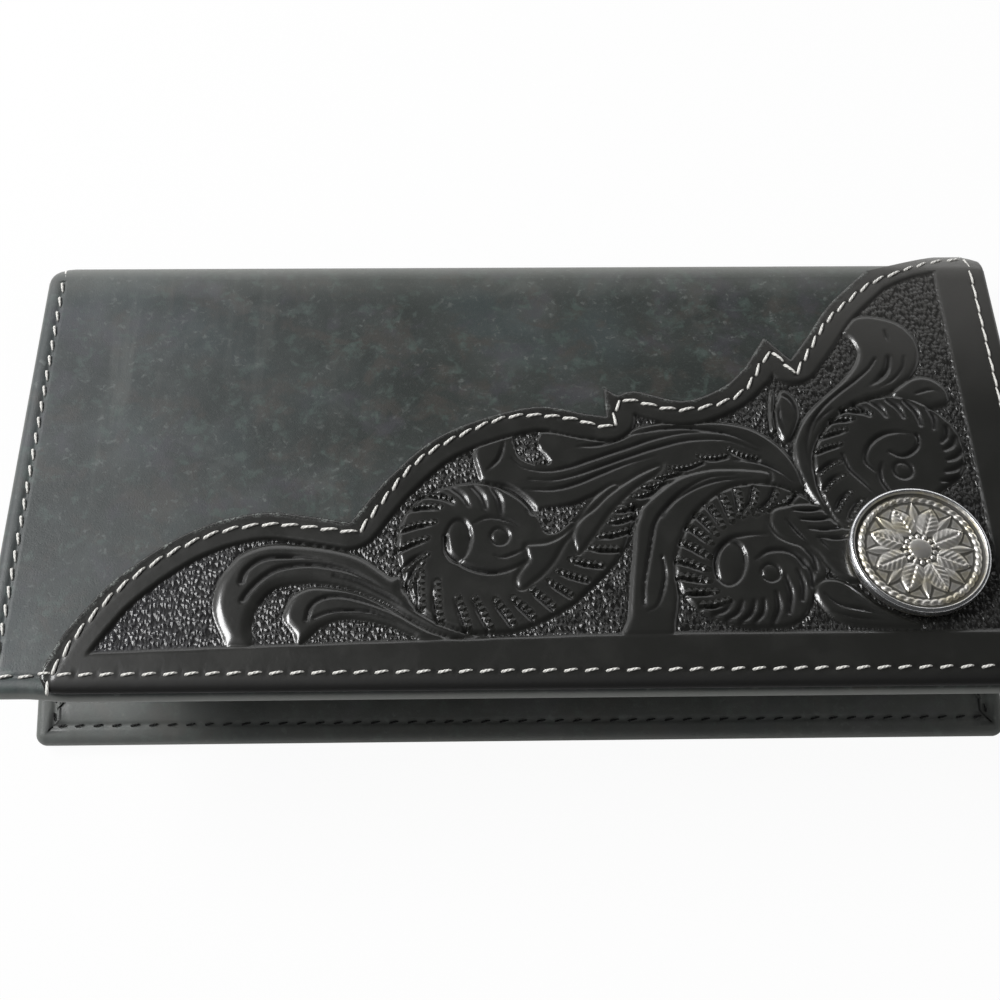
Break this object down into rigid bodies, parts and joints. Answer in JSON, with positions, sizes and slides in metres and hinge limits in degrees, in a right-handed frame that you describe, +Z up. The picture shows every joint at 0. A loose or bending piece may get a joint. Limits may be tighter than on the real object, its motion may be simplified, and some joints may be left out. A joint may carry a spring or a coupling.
{
  "type": "long bifold wallet",
  "caption": "Long bifold wallet in dark leather with a tooled, scalloped overlay, a round metal concho and pale edge stitching; it folds flat or opens out.",
  "frame": {"origin": "centre of the footprint, on the surface that the back half lies on", "axes": "+X along the fold, towards the concho; -Y towards the open edge; +Z up"},
  "size_m": [0.184, 0.0952, 0.0404],
  "materials": {
    "waxed_cover_leather": "waxed, scuffed, matt",
    "tooled_black_leather": "hand tooled, semi-gloss",
    "inner_leather": "smooth, matt",
    "lining_cloth": "plain weave",
    "white_thread": "waxed twist",
    "black_thread": "waxed twist",
    "aged_nickel": "aged, polished rim",
    "clear_sheet": "clear"
  },
  "bodies": {
    "back_half": {"back_cover": "waxed_cover_leather", "back_lining": "lining_cloth", "back_pocket_panel": "inner_leather", "back_card_tier_1": "inner_leather", "back_card_tier_2": "inner_leather", "back_card_tier_3": "inner_leather", "id_window": "clear_sheet", "id_window_frame": "inner_leather", "back_column_thread": "black_thread", "back_outer_thread": "white_thread", "back_inner_thread": "black_thread"},
    "spine": {"spine_leather": "waxed_cover_leather", "spine_lining": "lining_cloth", "spine_thread_left": "white_thread", "spine_thread_right": "white_thread", "yoke_fold_tab": "tooled_black_leather"},
    "front_half": {"front_cover": "waxed_cover_leather", "front_lining": "lining_cloth", "front_pocket_panel": "inner_leather", "front_card_tier_1": "inner_leather", "front_card_tier_2": "inner_leather", "front_card_tier_3": "inner_leather", "front_column_thread": "black_thread", "front_inner_thread": "black_thread", "front_outer_thread": "white_thread", "tooled_yoke": "tooled_black_leather", "yoke_thread": "white_thread", "concho": "aged_nickel", "concho_screw": "aged_nickel"}
  },
  "joints": [
    {"name": "back_crease", "type": "hinge", "parent": "back_half", "child": "spine", "pos_m": [0, 0.04266, 0.00202], "axis": [-1, 0, 0], "range_deg": [-9, 81], "stiffness_Nm_per_rad": 0.1, "springref_deg": 18.33, "deforming": ["spine_leather", "spine_lining", "spine_thread_left", "spine_thread_right", "yoke_fold_tab"]},
    {"name": "front_crease", "type": "hinge", "parent": "spine", "child": "front_half", "pos_m": [0, 0.04374, 0.0088], "axis": [-1, 0, 0], "range_deg": [-9, 81], "stiffness_Nm_per_rad": 0.1, "springref_deg": 18.33}
  ],
  "couplings": [
    {"joint": "front_crease", "follows": "back_crease", "ratio": 1}
  ]
}
